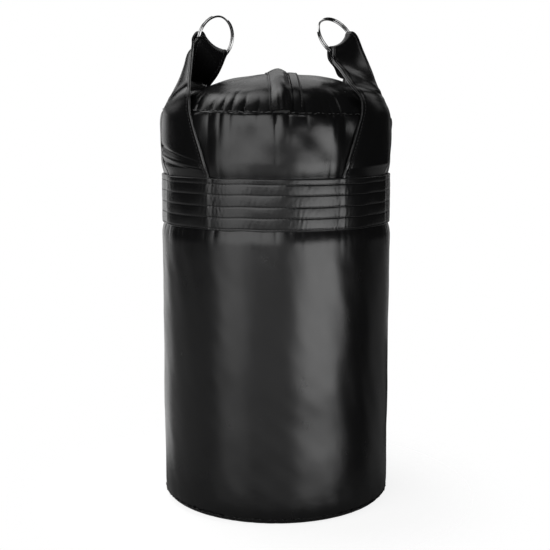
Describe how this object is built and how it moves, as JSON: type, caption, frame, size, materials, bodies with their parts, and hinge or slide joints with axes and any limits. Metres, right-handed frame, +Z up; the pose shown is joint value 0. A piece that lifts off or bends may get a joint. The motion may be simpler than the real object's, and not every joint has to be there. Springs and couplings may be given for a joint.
{
  "type": "punching bag",
  "caption": "Small round punching bag in black artificial leather with a row-stitched collar, two hanging straps with split rings and a zipped, covered top.",
  "frame": {"origin": "centre of the flat base, where the bag stands on the floor", "axes": "+Z up along the bag's axis, -Y towards the front, +X to the right as seen from the front, the straps at -X and +X"},
  "size_m": [0.203, 0.203, 0.4238],
  "materials": {
    "leather": "fine-grained black artificial leather, semi-gloss",
    "strap_leather": "two layers of the same artificial leather, sewn, semi-gloss",
    "thread": "black sewing thread",
    "steel": "bright plated round wire",
    "zip_plastic": "black moulded",
    "zip_metal": "dark plated",
    "tape": "black woven tape",
    "felt": "grey felt",
    "rag": "packed textile scrap"
  },
  "bodies": {
    "bag_body": {"side_wall": "leather", "bottom_panel": "leather", "top_panel_left": "leather", "top_panel_right": "leather", "collar_band": "leather", "zip_flap": "leather", "zip_facing": "leather", "zip_tape_left": "tape", "zip_tape_right": "tape", "zip_teeth_left": "zip_plastic", "zip_teeth_right": "zip_plastic", "zip_stop_front": "zip_plastic", "zip_stop_back": "zip_plastic", "zip_flap_thread": "thread", "zip_facing_thread": "thread", "shoulder_thread": "thread", "bottom_thread": "thread", "collar_thread_1": "thread", "collar_thread_2": "thread", "collar_thread_3": "thread", "collar_thread_4": "thread", "collar_thread_5": "thread", "padding_sleeve": "felt", "filling_core": "rag", "strap_left_front_leg": "strap_leather", "strap_left_back_leg": "strap_leather", "strap_right_front_leg": "strap_leather", "strap_right_back_leg": "strap_leather"},
    "left_strap_loop": {"strap_left_loop": "strap_leather"},
    "right_strap_loop": {"strap_right_loop": "strap_leather"},
    "left_ring": {"ring_left": "steel"},
    "right_ring": {"ring_right": "steel"},
    "slider": {"zip_slider": "zip_metal"},
    "pull_tab": {"zip_pull": "zip_metal"}
  },
  "joints": [
    {"name": "left_loop_lean", "type": "hinge", "parent": "bag_body", "child": "left_strap_loop", "pos_m": [-0.084, 0, 0.345], "axis": [0, -1, 0], "range_deg": [-6, 60]},
    {"name": "right_loop_lean", "type": "hinge", "parent": "bag_body", "child": "right_strap_loop", "pos_m": [0.084, 0, 0.345], "axis": [0, 1, 0], "range_deg": [-6, 60]},
    {"name": "left_ring_spin", "type": "hinge", "parent": "left_strap_loop", "child": "left_ring", "pos_m": [-0.0524, 0, 0.4044], "axis": [0.6814, -0.6993, -0.2161], "continuous": true},
    {"name": "right_ring_spin", "type": "hinge", "parent": "right_strap_loop", "child": "right_ring", "pos_m": [0.0522, 0, 0.4051], "axis": [0.5726, -0.6474, 0.503], "continuous": true},
    {"name": "zip_travel", "type": "hinge", "parent": "bag_body", "child": "slider", "pos_m": [0, 0, 0.1595], "axis": [0.999, 0.0436, 0], "range_deg": [0, 35]},
    {"name": "pull_turn", "type": "hinge", "parent": "slider", "child": "pull_tab", "pos_m": [-0.00177, 0.06338, 0.36687], "axis": [0.999, 0.0436, 0], "range_deg": [0, 180]}
  ]
}
